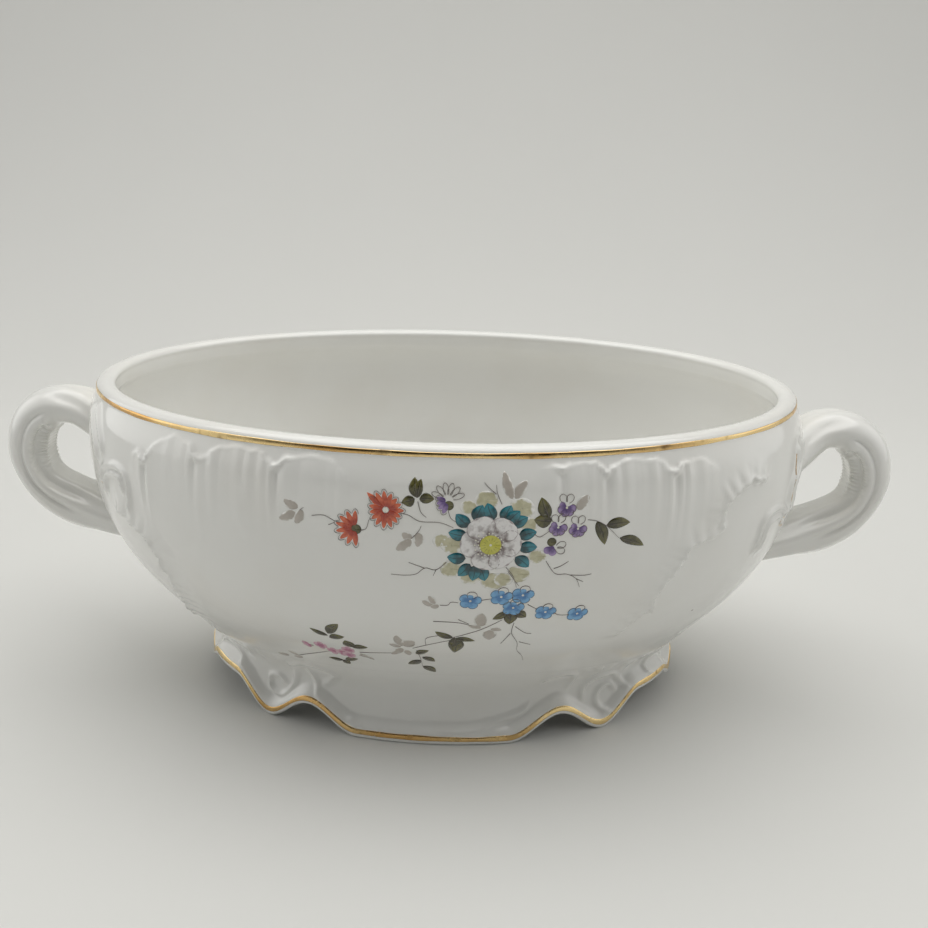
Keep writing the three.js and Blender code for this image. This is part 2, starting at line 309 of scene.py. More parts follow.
class Nodes:
    """A small helper that adds and joins the shader nodes of a material or world."""

    def __init__(self, owner):
        owner.use_nodes = True
        self.owner = owner
        self.tree = owner.node_tree

    def add(self, kind, inputs=(), **settings):
        node = self.tree.nodes.new(kind)
        for key, value in settings.items():
            setattr(node, key, value)
        for key, value in dict(inputs).items():
            self.put(node.inputs[key], value)
        return node

    def put(self, socket, value):
        if isinstance(value, bpy.types.NodeSocket):
            self.tree.links.new(value, socket)
        else:
            socket.default_value = value

    def set(self, **values):
        """Sets the shader's inputs by name, with underscores for spaces."""
        for key, value in values.items():
            self.put(self.tree.nodes["Principled BSDF"].inputs[key.replace("_", " ")], value)

    def place(self):
        return self.add("ShaderNodeTexCoord").outputs["Object"]

    def noise(self, scale, detail=3.0, roughness=0.5):
        inputs = {"Vector": self.place(), "Scale": scale, "Detail": detail, "Roughness": roughness}
        return self.add("ShaderNodeTexNoise", inputs).outputs["Fac"]

    def ramp(self, value, low, high, bottom=0.0, top=1.0):
        inputs = {"Value": value, "From Min": low, "From Max": high, "To Min": bottom, "To Max": top}
        return self.add("ShaderNodeMapRange", inputs, interpolation_type="SMOOTHSTEP").outputs["Result"]

    def math(self, operation, first, second):
        return self.add("ShaderNodeMath", {0: first, 1: second}, operation=operation).outputs[0]

    def mix(self, share, first, second):
        def colour(value):
            return value if isinstance(value, bpy.types.NodeSocket) else (*value, 1.0)
        inputs = {0: share, 6: colour(first), 7: colour(second)}
        return self.add("ShaderNodeMix", data_type="RGBA", inputs=inputs).outputs[2]

    def bump(self, height, strength, distance):
        inputs = {"Height": height, "Strength": strength, "Distance": distance}
        return self.add("ShaderNodeBump", inputs).outputs["Normal"]


def glaze_colour(nodes):
    """White porcelain under its glaze, clouded a little, with a few kiln specks."""
    clouds = nodes.ramp(nodes.noise(26, 3.0), 0.42, 0.72)
    colour = nodes.mix(nodes.math("MULTIPLY", clouds, 0.5), GLAZE_WHITE, GLAZE_WARM)
    cells = nodes.add("ShaderNodeTexVoronoi", {"Vector": nodes.place(), "Scale": 34.0, "Randomness": 1.0})
    speck = nodes.ramp(cells.outputs["Distance"], 0.012, 0.02, 0.8, 0.0)
    return nodes.mix(speck, colour, (0.16, 0.12, 0.09))


def porcelain():
    nodes = Nodes(bpy.data.materials.new("porcelain_glaze"))
    ripple = nodes.math("ADD", nodes.noise(95, 2.0), nodes.math("MULTIPLY", nodes.noise(900, 2.0), 0.12))
    nodes.set(
        Base_Color=glaze_colour(nodes), Roughness=nodes.ramp(nodes.noise(60), 0.3, 0.7, 0.16, 0.26),
        Coat_Weight=0.6, Coat_Roughness=0.04, Normal=nodes.bump(ripple, 0.16, 0.0006),
    )
    return nodes.owner


def gilt():
    """Burnished gold line, brushed on by hand: it darkens and thins in places."""
    nodes = Nodes(bpy.data.materials.new("worn_gilding"))
    brushing = nodes.noise(150, 3.0, 0.55)
    tone = nodes.ramp(nodes.noise(24, 2.0), 0.36, 0.62)
    gold = nodes.mix(tone, (0.66, 0.40, 0.15), (0.95, 0.72, 0.36))
    gold = nodes.mix(nodes.ramp(brushing, 0.60, 0.76, 0.0, 0.85), gold, (0.22, 0.12, 0.05))
    worn = nodes.ramp(nodes.noise(240, 4.0, 0.6), 0.70, 0.75)
    nodes.set(
        Base_Color=nodes.mix(worn, gold, GLAZE_WARM),
        Metallic=nodes.ramp(worn, 0.0, 1.0, 1.0, 0.0),
        Roughness=nodes.ramp(brushing, 0.35, 0.7, 0.18, 0.34),
        Normal=nodes.bump(brushing, 0.3, 0.0004),
    )
    return nodes.owner


def enamel(name, deep, pale, veined=False, soft=0.0, from_base=0.5, edged=None):
    """Painted colour: deep at the stroke's base, pale at its tip, pooled by noise.

    A soft enamel is a thin wash that fades into the glaze round its rim, and an edged one has a drawn rim.
    """
    nodes = Nodes(bpy.data.materials.new(name))
    place = nodes.add("ShaderNodeUVMap", uv_map="strokes").outputs["UV"]
    split = nodes.add("ShaderNodeSeparateXYZ", {"Vector": place})
    along = split.outputs["X"]
    sideways = nodes.math("ABSOLUTE", nodes.math("SUBTRACT", split.outputs["Y"], 0.5), 0.0)
    pools = nodes.ramp(nodes.noise(520, 3.0), 0.3, 0.7, -0.28, 0.28)
    share = nodes.math("ADD", nodes.ramp(along, from_base - 0.5, from_base + 0.5), pools)
    colour = nodes.mix(nodes.ramp(share, 0.0, 1.0), deep, pale)
    if veined:
        vein = nodes.ramp(sideways, 0.015, 0.06, 0.75, 0.0)
        colour = nodes.mix(vein, colour, tuple(0.35 * value for value in deep))
        rim = nodes.ramp(sideways, 0.36, 0.5, 0.0, 0.55)
        colour = nodes.mix(rim, colour, tuple(0.5 * value for value in deep))
    if edged:
        rim = nodes.math("MAXIMUM", nodes.ramp(sideways, 0.44, 0.5), nodes.ramp(along, 0.95, 0.99))
        colour = nodes.mix(nodes.math("MULTIPLY", rim, 0.7), colour, edged)
    if soft:
        rim = nodes.math("ADD", sideways, nodes.ramp(nodes.noise(420, 4.0), 0.3, 0.7, -0.1, 0.1))
        cover = nodes.math("MULTIPLY", nodes.ramp(rim, 0.34, 0.5, 1.0, 0.0), soft)
        cover = nodes.math("MULTIPLY", cover, nodes.ramp(along, 0.0, 0.05))
        cover = nodes.math("MULTIPLY", cover, nodes.ramp(along, 0.94, 1.0, 1.0, 0.0))
        colour = nodes.mix(cover, glaze_colour(nodes), colour)
    nodes.set(
        Base_Color=colour, Roughness=0.2, Coat_Weight=0.5, Coat_Roughness=0.06,
        Normal=nodes.bump(nodes.noise(700, 3.0), 0.1, 0.0002),
    )
    return nodes.owner


def backdrop_paper():
    nodes = Nodes(bpy.data.materials.new("backdrop_paper"))
    grain = nodes.noise(260, 5.0, 0.6)
    nodes.set(
        Base_Color=nodes.mix(nodes.noise(3.0, 2.0), (0.70, 0.70, 0.68), (0.73, 0.73, 0.71)),
        Roughness=0.85, Specular_IOR_Level=0.2, Normal=nodes.bump(grain, 0.05, 0.0005),
    )
    return nodes.owner


PORCELAIN = porcelain()
GILT = gilt()


# ---- Bowl body ----
FINE_COLUMN = 0.95
PLAIN_COLUMN = 2.4


def around_columns():
    """Places across one half of the oval, closer together where the wall is moulded."""
    places = np.linspace(-HALF_ROUND, HALF_ROUND, 4001)
    moulded = (np.abs(places) > 22) & (np.abs(places) < 158)
    columns = np.cumsum(np.where(moulded, 1 / FINE_COLUMN, 1 / PLAIN_COLUMN)) * (places[1] - places[0])
    return np.interp(np.arange(columns[0], columns[-1]), columns, places)


def oval_point(theta, a, b, z):
    return np.stack([a * np.cos(theta), b * np.sin(theta), z + 0 * theta], axis=-1)


def oval_ring(r, z, theta):
    return oval_point(theta, r, half_width(np.asarray(r)), z)


def inner_wall(down):
    """The inside of the wall, a wall's thickness in from the outside."""
    slope = np.interp(down, WALL_DOWN, WALL_SLOPE)
    steep = np.hypot(1.0, slope)
    r = np.interp(down, WALL_DOWN, WALL_LINE[:, 0]) - WALL * (1 / steep)
    z = np.interp(down, WALL_DOWN, WALL_LINE[:, 1]) + WALL * (slope / steep)
    return list(zip(r, z))


def inside_profile():
    """The lip, the collar inside it, and the inner wall down to the floor, as (half length, height)."""
    profile = [(RIM_R - 0.05, 127.5)]
    for angle in np.linspace(0, math.pi, 13):
        profile.append((LIP_R + LIP_HALF_WIDTH * math.cos(angle), LIP_Z + LIP_HALF_HEIGHT * math.sin(angle)))
    collar = LIP_R - LIP_HALF_WIDTH + 0.3
    for out, drop in [(0, 0.6), (0, 1.4), (0, 4.6), (0.5, 5.6), (1.9, 7.2), (3.6, 9.8)]:
        profile.append((collar + out, LIP_Z - drop))
    profile += inner_wall(np.concatenate([np.arange(15, 100, 8.5), np.arange(101, 120, 6)]))
    profile += [(84, FLOOR_TOP + 3.3), (74, FLOOR_TOP + 1.2)]
    return profile + [(r, FLOOR_TOP) for r in (FLOOR_R, 44, 24, 3)]


def bowl_body():
    half = around_columns()
    across = np.concatenate([half, half])
    front = np.interp(half, ACROSS, TURNS) - math.pi / 2
    theta = np.concatenate([front, front + math.pi])
    turned = np.ones((len(theta), 3))
    turned[len(half):] = HALF_TURN
    under = [(r, FLOOR_UNDER) for r in (3, 24, 44, FLOOR_R)] + [(74, 15.3), (84, 17.5), (90, 19.9)]
    rings = [oval_ring(r, z, theta) for r, z in under]
    downs = np.concatenate([
        np.arange(WALL_LENGTH, 104, -4), np.arange(104, 42, -1.6), np.arange(42, 16, -1.0),
        np.arange(16, 0.4, -0.7), [0.0],
    ])
    for down in downs:
        rings.append(wall_point(across, np.full(theta.shape, down)) * turned)
    rings += [oval_ring(r, z, theta) for r, z in inside_profile()]
    count = len(theta)
    points = np.vstack(rings)
    faces = grid_faces(len(rings), count, wrap_columns=True).tolist()
    last = (len(rings) - 1) * count
    faces.append(list(range(count))[::-1])
    faces.append(list(range(last, last + count)))
    piece = new_piece("bowl_body_moulded", points, faces, PORCELAIN)
    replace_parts(piece, "bowl_body")


# ---- Scalloped foot ----
def hump(value, centre, half_span):
    x = np.clip(np.abs(value - centre) / half_span, 0, 1)
    return np.cos(x * math.pi / 2) ** 2


def arch_height(theta):
    """Height of the foot's edge: raised along the ends, down at the corner lobes, arched beside them."""
    quarter = np.degrees(np.arcsin(np.clip(np.abs(np.sin(theta)), 0, 1)))
    end = END_ARCH * (1 - smooth((quarter - 35) / 13)) - END_DIP * hump(quarter, 12, 9)
    return end + SIDE_ARCH * hump(quarter, 60.5, 12.5)


def crease_height(theta):
    return CREASE_AT_ENDS + (CREASE_AT_SIDES - CREASE_AT_ENDS) * np.sin(theta) ** 2


def cove_swell(up):
    """How far the plain cove stands out from the throat, at a height above the foot's edge."""
    return FOOT_COVE * np.clip(1 - up / COVE_DEPTH, 0, 1) ** 1.5


def rolled_rim(theta, up, out=0.0):
    """Point of the foot's rolled rim at a height above its edge, moved out from its face."""
    roll = FOOT_ROLL * smooth((ROLL_END - up) / (ROLL_END - ROLL_START))
    swell = roll + cove_swell(up) + out
    return oval_point(theta, THROAT_A + swell, THROAT_B + swell, arch_height(theta) + up)


def cove(theta, share, out=0.0):
    """Point of the foot from its rolled rim (share 0) to where it runs smoothly into the bowl (share 1)."""
    crease = crease_height(theta)
    start = arch_height(theta) + ROLL_END
    reach = (crease - start) * 0.45
    swell = cove_swell(ROLL_END)
    next_swell = swell - 0.17 * reach
    top = wall_radius(crease) - 0.03
    lean = wall_lean(crease) * reach
    weights = ((1 - share) ** 3, 3 * share * (1 - share) ** 2, 3 * share**2 * (1 - share), share**3)

    def blend(*values):
        return sum(weight * value for weight, value in zip(weights, values))

    a = blend(THROAT_A + swell, THROAT_A + next_swell, top - lean, top)
    b = blend(THROAT_B + swell, THROAT_B + next_swell, top - lean - OVAL_STEP, top - OVAL_STEP)
    return oval_point(theta, a + out, b + out, blend(start, start + reach, crease - reach, crease))


FOOT_LINES = [
    [(-96, 3), (-88, 5), (-81, 6), (-75, 8.5), (-70, 11), (-67.5, 15)],
    [(-69, 35), (-65, 35.5), (-60, 34.5), (-55, 31.5), (-52, 27), (-53, 23)],
    [(-66, 24), (-64, 27.5), (-60, 28), (-57.5, 24.5), (-58, 19)],
    [(-53, 12), (-53, 19), (-50, 22), (-45, 21.5), (-40, 16.5), (-38, 9.5), (-40.5, 4.5), (-45, 5.5),
     (-48.5, 10), (-48, 15.5), (-44.5, 17), (-41.5, 13)],
    [(-28, 14), (-30, 19), (-26, 22.5), (-16, 20), (-8, 17)],
    [(-120, 25), (-118, 18), (-116, 11.5), (-112, 6.5), (-106, 4.5), (-98, 3.2)],
    [(-125, 24), (-121, 27), (-116, 28), (-112, 25), (-114, 21), (-117, 18)],
    [(-124, 22), (-125.5, 15), (-129, 9.5), (-133, 10.5), (-133.5, 15), (-130, 17), (-128, 14)],
    [(-138, 8), (-142, 14), (-146, 20), (-152, 22), (-160, 19)],
    [(-145, 9), (-149, 14), (-155, 15.5)],
]
FOOT_FLUTES = 44               # round the whole foot, though they show only on the corner lobes
FOOT_ARC_RADIUS = 80           # turns an angle round the foot into an arc for its lines


def foot_relief(theta, z):
    """Scrolls, a panel line and the shell flutes of the corner lobes."""
    folded = (np.degrees(theta) + 180) % 180 - 180
    arc = np.radians(folded) * FOOT_ARC_RADIUS
    height = np.zeros(np.broadcast(arc, z).shape)
    for line in FOOT_LINES:
        placed = [(math.radians(turn) * FOOT_ARC_RADIUS, rise) for turn, rise in line]
        height += ridge(arc, z, placed, 1.0, 1.25)
    corner = bell((np.abs(folded + 90) - 45) / 9)
    flutes = np.cos(np.radians(folded) * FOOT_FLUTES) * smooth((z - 16) / 8)
    return height + corner * (0.5 * smooth(1 - np.abs(z - 8) / 10) + 0.3 * flutes)


def foot_skirt():
    theta = np.linspace(0, 2 * math.pi, 700, endpoint=False)
    rows = [rolled_rim(theta, 0.0, -out) for out in (FOOT_WALL - 1, FOOT_WALL / 2, 1.3)]
    rows += [rolled_rim(theta, up, out) for up, out in [(0.35, -0.55), (0.9, -0.15), (1.6, 0.0)]]
    for up in np.arange(2.2, ROLL_END, 0.6):
        relief = foot_relief(theta, arch_height(theta) + up)
        rows.append(rolled_rim(theta, up, relief * smooth((up - 3.8) / 2)))
    for share in np.linspace(0, 1, 28):
        z = cove(theta, share)[..., 2]
        rows.append(cove(theta, share, foot_relief(theta, z) * smooth((1 - share) / 0.12)))
    crease = crease_height(theta)
    for higher, deeper in [(0.8, 0.15), (1.6, 0.6), (1.2, 3.0)]:
        a = wall_radius(crease + higher) - deeper
        rows.append(oval_point(theta, a, a - OVAL_STEP, crease + higher))
    for share in (0.8, 0.5, 0.2):
        rows.append(cove(theta, share, -FOOT_WALL))
    for up in (6.0, 3.6, 1.0):
        rows.append(rolled_rim(theta, up, -FOOT_WALL))
    points, faces = ring_solid(np.stack(rows, axis=1))
    piece = new_piece("foot_skirt_moulded", points, faces[:, ::-1], PORCELAIN)
    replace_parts(piece, "foot_skirt")


# ---- Gilding ----
def hand_wobble(theta, size, seed):
    """The unsteady edge of a line brushed on a turning piece."""
    waves = np.sin(7 * theta + seed) + 0.6 * np.sin(17 * theta + 2 * seed)
    return size * (waves + 0.4 * np.sin(41 * theta + 3 * seed)) / 2


def band_section(skin, swell, shoulder):
    """Outline of a thin gold band, as (share of its width, height off the porcelain)."""
    sunk = -0.3
    across = [0.0, 0.0, shoulder, 0.5, 1 - shoulder, 1.0, 1.0]
    return zip(across, [sunk, skin, swell, swell, swell, skin, sunk])


def gold_band(name, rows):
    points, faces = ring_solid(np.stack(rows, axis=1))
    return new_piece(name, points, faces[:, ::-1], GILT)


def rim_gilding():
    theta = np.linspace(0, 2 * math.pi, 720, endpoint=False)
    low = GOLD_TOP - RIM_GILDING_WIDTH + hand_wobble(theta, 0.2, 1.0)
    high = GOLD_TOP + hand_wobble(theta, 0.14, 2.4)
    rows = []
    for share, out in band_section(0.02, 0.08, 0.15):
        z = low + (high - low) * share
        rise = np.clip((z - LIP_Z) / LIP_HALF_HEIGHT, 0, 1)
        side = RIM_R - 0.2 * np.clip((z - WALL_TOP) / 1.6, 0, 1)
        r = side - LIP_HALF_WIDTH * (1 - np.sqrt(1 - rise**2)) + out
        rows.append(oval_point(theta, r, r - OVAL_STEP, z))
    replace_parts(gold_band("rim_gilding_line", rows), "rim_gilding")


def foot_gilding():
    theta = np.linspace(0, 2 * math.pi, 900, endpoint=False)
    low = FOOT_BAND[0] + hand_wobble(theta, 0.2, 0.7)
    high = FOOT_BAND[1] + hand_wobble(theta, 0.35, 1.9)
    rows = []
    for share, out in band_section(0.03, 0.1, 0.12):
        rows.append(rolled_rim(theta, low + (high - low) * share, out))
    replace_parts(gold_band("foot_gilding_line", rows), "foot_gilding")


# ---- Handles ----
HANDLE_STEPS = 330
HANDLE_SIDES = 96
ROOT_SHARE = 0.24              # the loop widens over this share of its length towards each root
ROOT_LEAN = 8.0
BEAD_PITCH = 1.6
RIB_PITCH = 2.1
LOBE_PITCH = 9.5


def handle_surface():
    """The right handle as an array (steps, sides, 3): a leaf-wrapped loop with a ribbed inner strand."""
    line = curve_through(HANDLE_KNOTS, 40)
    shares = np.linspace(0, 1, len(line))
    arcs = lengths_along(line)
    arc = np.linspace(0, arcs[-1], HANDLE_STEPS)
    share = np.interp(arc, arcs, shares)[:, None]
    centre = np.stack([np.interp(arc, arcs, line[:, k]) for k in (0, 1)], axis=-1)
    tangent = np.gradient(centre, axis=0)
    tangent = tangent / np.linalg.norm(tangent, axis=1, keepdims=True)
    top = np.clip(1 - share / ROOT_SHARE, 0, 1)
    bottom = np.clip(1 - (1 - share) / ROOT_SHARE, 0, 1)
    middle = np.sin(math.pi * np.minimum(1, share / 0.9))
    in_plane = 5.4 + 2.8 * middle + 7 * top**2 + 3.3 * hump(share, 0.82, 0.22) + 2.5 * bottom**1.5
    across = 10.5 + 12 * top**2 + 5 * bottom**2
    turn = np.linspace(0, 2 * math.pi, HANDLE_SIDES, endpoint=False)[None, :]
    out_x = np.cos(turn) / in_plane
    out_y = np.sin(turn) / across
    steep = np.hypot(out_x, out_y)
    height = handle_relief(share, arc[:, None], np.degrees(turn))
    plane = np.cos(turn) * in_plane + out_x / steep * height
    sideways = np.sin(turn) * across + out_y / steep * height + ROOT_LEAN * top**1.5
    x = centre[:, :1] - tangent[:, 1:] * plane
    z = centre[:, 1:] + tangent[:, :1] * plane
    return np.stack([x, -sideways, z], axis=-1)


def handle_relief(share, arc, turn):
    """Height of the moulding at a share of the way round the loop and a turn round its section.

    The turn is in degrees: 0 faces out of the loop, 180 faces the finger gap, and both faces are alike.
    """
    folded = np.where(turn > 180, 360 - turn, turn)
    strands = smooth((share - 0.26) / 0.08) * smooth((0.9 - share) / 0.16)
    ribbed = strands * smooth((0.66 - share) / 0.12)
    beads = np.abs(np.sin(math.pi * arc / BEAD_PITCH))
    ribs = 0.5 + 0.5 * np.cos(2 * math.pi * arc / RIB_PITCH)
    height = strands * (bell((folded - 111) / 10) - 0.9 * bell((folded - 93) / 6))
    height += strands * (0.7 * bell((folded - 154) / 12) - bell((folded - 132) / 6))
    height += ribbed * 0.6 * ribs * bell((folded - 152) / 14)
    height += ribbed * 0.4 * beads * bell((folded - 119) / 5)
    lobes = np.abs(np.sin(math.pi * arc / LOBE_PITCH))
    serrated = smooth((share - 0.4) / 0.1) * smooth((0.88 - share) / 0.1)
    height += 0.45 * (lobes - 0.6) * bell(folded / 24) * serrated
    height += 0.3 * smooth((share - 0.7) / 0.2) * np.cos(np.radians(folded) * 8 + share * 5)
    sheath = smooth((0.3 - share) / 0.08) * bell((folded - 40) / 50)
    height += 0.5 * sheath * np.cos(np.radians(folded) * 6 + share * 16)
    curl = bell((share - 0.31) / 0.03) * bell((folded - 135) / 26)
    second = bell((share - 0.375) / 0.02) * bell((folded - 140) / 20)
    return height + 1.6 * curl + 0.9 * second


def embed(points):
    """Moves points that lie deep inside the bowl's wall out to just under its face."""
    depth = 1.8
    x, y, z = points[..., 0], points[..., 1], points[..., 2]
    a = wall_radius(z) - depth
    b = a - OVAL_STEP
    reach = np.hypot(x / a, y / b)
    grow = np.where(reach < 1, 1 / np.maximum(reach, 0.2), 1)
    return np.stack([x * grow, y * grow, z], axis=-1)


def handle(side, name, node):
    surface = embed(handle_surface())
    if side < 0:
        surface = surface * HALF_TURN
    steps, sides = surface.shape[:2]
    points = np.vstack([surface.reshape(-1, 3), surface[0].mean(0), surface[-1].mean(0)])
    faces = grid_faces(steps, sides, wrap_columns=True).tolist()
    for j in range(sides):
        following = (j + 1) % sides
        faces.append([steps * sides, following, j])
        last = (steps - 1) * sides
        faces.append([steps * sides + 1, last + j, last + following])
    piece = new_piece(name, points, faces, PORCELAIN)
    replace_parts(piece, node)


# ---- Painted enamel ----
def petal_edge(t, length, width):
    """Outline of a round-tipped petal: how far along it and how far to the side, for t from base to tip."""
    widest = 0.6
    growing = 0.22 + 0.78 * smooth(t / widest)
    past = np.maximum(t - widest, 0) / (1 - widest)
    closing = np.sqrt(np.clip(1 - past**2.2, 0, 1))
    return t * length, np.maximum(width / 2 * np.where(t < widest, growing, closing), 0.05)


def swing(base, angle, x, y=0.0):
    """The place x along and y beside a direction from a base; the angle in degrees turns from right to up."""
    turn = math.radians(angle)
    across = base[0] + x * math.cos(turn) - y * math.sin(turn)
    down = base[1] - x * math.sin(turn) - y * math.cos(turn)
    return across, down


class Paint:
    """Brush strokes of one colour, gathered into one piece that lies on the wall."""

    def __init__(self, material, lift, slot="enamel"):
        self.material = material
        self.lift = lift
        self.slot = slot
        self.points = []
        self.faces = []
        self.uv = []
        self.rounded = []
        self.used = 0

    def patch(self, across, down, u, v):
        """A thin closed patch over a grid of wall places."""
        rows, columns = across.shape
        self.lift += 0.0004
        for back in (False, True):
            top = wall_point(across, down, self.lift, back).reshape(-1, 3)
            bottom = wall_point(across, down, -0.12, back).reshape(-1, 3)
            count = rows * columns
            quads = grid_faces(rows, columns)
            index = np.arange(count).reshape(rows, columns)
            border = np.concatenate([index[0], index[1:, -1], index[-1, -2::-1], index[-2:0:-1, 0]])
            following = np.roll(border, -1)
            sides = np.column_stack([following, border, border + count, following + count])
            self.points.append(np.vstack([top, bottom]))
            self.faces.append(np.vstack([quads, quads[:, ::-1] + count, sides]) + self.used)
            self.uv.append(np.tile(np.column_stack([u.ravel(), v.ravel()]), (2, 1)))
            self.rounded += [True] * (2 * len(quads)) + [False] * len(sides)
            self.used += 2 * count

    def blade(self, base, angle, length, width, bend=0.0, fullness=0.8):
        """A leaf or petal from its base: pointed at full 1 and rounder below it."""
        t = np.linspace(0, 1, 11)[:, None]
        s = np.linspace(-1, 1, 5)[None, :]
        half = width / 2 * np.sin(math.pi * t**0.85) ** fullness
        half = np.maximum(half, 0.05)
        x = t * length + 0 * s
        y = s * half + bend * length * np.sin(math.pi * t)
        self.patch(*swing(base, angle, x, y), t + 0 * s, 0.5 + 0.5 * s + 0 * t)

    def petal(self, base, angle, length, width):
        """A petal with a narrow base and a broad round tip."""
        t = np.linspace(0, 1, 13)[:, None] ** 0.8
        s = np.linspace(-1, 1, 7)[None, :]
        x, y = petal_edge(t, length, width)
        x = x - 0.05 * length * (1 - s * s) * smooth((t - 0.85) / 0.15)
        self.patch(*swing(base, angle, x, y * s), t + 0 * s, 0.5 + 0.5 * s + 0 * t)

    def blot(self, centre, radius, squash=1.0):
        """A round dab; its u is midway throughout and its v runs from the middle to the rim."""
        t = np.linspace(0.02, 1, 6)[:, None]
        turn = np.linspace(0, 2 * math.pi, 17)[None, :]
        across = centre[0] + radius * t * np.cos(turn)
        down = centre[1] - radius * squash * t * np.sin(turn)
        self.patch(across[:, ::-1], down[:, ::-1], 0.5 + 0 * t + 0 * turn, 0.5 + 0.5 * t + 0 * turn)

    def stroke(self, places, width=0.3, taper=0.5):
        """A line drawn through places, thinner at its end."""
        line = curve_through(places, 8) if len(places) > 2 else np.linspace(*np.asarray(places, float), 7)
        step = np.gradient(line, axis=0)
        step = step / np.maximum(np.linalg.norm(step, axis=1, keepdims=True), 1e-9)
        t = np.linspace(0, 1, len(line))[:, None]
        half = width / 2 * (1 - taper * t)
        offset = np.concatenate([half, -half], axis=1)
        across = line[:, :1] - step[:, 1:] * offset
        down = line[:, 1:] + step[:, :1] * offset
        self.patch(across, down, t + 0 * offset, np.broadcast_to([0.0, 1.0], offset.shape))

    def piece(self, name):
        points = np.vstack(self.points)
        faces = np.vstack(self.faces)
        new_piece(name, points, faces, self.material, np.vstack(self.uv), self.rounded)


def outline(base, angle, length, width, start=0.3, thickness=0.13):
    """The rim of a petal drawn with the pen, from a share of its length round its tip and back."""
    t = np.concatenate([np.linspace(start, 0.85, 5), [0.94, 0.985, 1.0]])
    x, y = petal_edge(t, length, width)
    x = np.concatenate([x, x[-2::-1]])
    y = np.concatenate([y[:-1], [0], -y[-2::-1]])
    PEN.stroke(list(zip(*swing(base, angle, x, y))), thickness, 0.0)


WASH = Paint(enamel("enamel_olive_wash", (0.36, 0.33, 0.12), (0.55, 0.52, 0.30), soft=0.75), 0.02)
TAUPE = Paint(enamel("enamel_taupe_shadow", (0.40, 0.35, 0.30), (0.47, 0.42, 0.37), soft=0.85), 0.03)
OLIVE = Paint(enamel("enamel_olive_leaf", (0.045, 0.04, 0.012), (0.145, 0.135, 0.045), veined=True), 0.06)
TEAL = Paint(enamel("enamel_teal_leaf", (0.008, 0.05, 0.06), (0.03, 0.24, 0.30), veined=True), 0.07)
ORANGE = Paint(enamel("enamel_orange_petal", (0.40, 0.04, 0.015), (0.74, 0.17, 0.075)), 0.08)
PURPLE = Paint(enamel("enamel_purple_petal", (0.10, 0.05, 0.20), (0.36, 0.26, 0.50)), 0.08)
BLUE = Paint(enamel("enamel_blue_petal", (0.05, 0.20, 0.48), (0.20, 0.46, 0.76)), 0.08)
PINK = Paint(enamel("enamel_pink_petal", (0.50, 0.17, 0.30), (0.72, 0.45, 0.55)), 0.08)
MAIN_PETAL = enamel(
    "enamel_main_petal", (0.14, 0.095, 0.09), (0.86, 0.845, 0.84), from_base=0.46, edged=(0.25, 0.19, 0.20),
)
PETAL = Paint(MAIN_PETAL, 0.10)
YELLOW = Paint(enamel("enamel_yellow_heart", (0.52, 0.50, 0.06), (0.66, 0.64, 0.12)), 0.15)
DOTS = Paint(enamel("enamel_white_dots", (0.80, 0.78, 0.62), (0.88, 0.87, 0.80)), 0.17)
PEN = Paint(enamel("enamel_brown_pen", (0.12, 0.095, 0.085), (0.22, 0.185, 0.17)), 0.13)
OCHRE_PEN = Paint(enamel("enamel_ochre_pen", (0.30, 0.28, 0.05), (0.42, 0.40, 0.08)), 0.165)
GOLD_PEN = Paint(GILT, 0.05, "gilding")


def leaf(base, angle, length, width, bend=0.06):
    OLIVE.blade(base, angle, length, width, bend)
    PEN.stroke([base, swing(base, angle, 0.86 * length)], 0.14, 0.7)


def spray(centre, petals, start, end, length, width, paint):
    """Petals of one paint, fanned about a centre."""
    for angle in np.linspace(start, end, petals):
        base = swing(centre, angle, 0.18 * length)
        reach = length * (1 + 0.12 * math.sin(3.1 * angle))  # uneven, as painted by hand
        paint.blade(base, angle, 0.86 * reach, width, fullness=0.55)
        outline(base, angle, 0.96 * reach, width * 1.2, 0.7, 0.09)


def main_flower():
    heart = (19.2, 27.4)
    teal = [
        ((14.3, 19.4), 68), ((20.0, 18.8), 112), ((22.9, 19.5), 66), ((25.6, 21.2), 32), ((27.9, 24.9), 18),
        ((28.1, 28.8), 4), ((27.2, 31.8), -40), ((16.0, 35.2), -70), ((13.0, 34.2), -128),
        ((11.6, 32.2), 176), ((11.8, 24.2), 170), ((12.6, 21.0), 138), ((14.6, 34.8), -96),
        ((24.0, 20.2), 46),
    ]
    for base, angle in teal:
        TEAL.blade(base, angle, 5.8, 4.2, 0.05, 0.7)
    petals = [(178, 9.2), (-104, 8.8), (-52, 9.0), (4, 9.4), (52, 9.8), (118, 9.8)]
    for angle, length in petals:
        PETAL.petal(swing(heart, angle, 0.4), angle, length, 9.4)
    YELLOW.blot(heart, 3.4)
    for angle in np.linspace(0, 360, 22, endpoint=False):
        DOTS.blot(swing(heart, angle, 3.75 + 0.3 * math.sin(math.radians(5 * angle))), 0.22)
    for angle in np.linspace(120, 240, 7):
        DOTS.blot(swing(heart, angle, 4.9), 0.24)
    DOTS.blot(heart, 0.4)
    for angle in np.linspace(0, 360, 14, endpoint=False):
        OCHRE_PEN.stroke([swing(heart, angle, 1.6), swing(heart, angle, 3.0)], 0.16, 0.5)


def washes():
    for place, size in [
        ((17.7, 12.6), 3.6), ((28.4, 15.4), 4.2), ((12.1, 14.9), 2.6), ((4.0, 26.2), 2.8),
        ((7.3, 27.6), 3.6), ((7.4, 36.2), 3.8), ((13.3, 39.2), 3.6), ((20.6, 41.0), 4.0),
        ((28.4, 38.2), 4.0), ((34.0, 31.8), 3.0), ((31.0, 20.7), 2.8), ((24.0, 40.2), 3.2),
    ]:
        WASH.blot(place, size, 0.85)


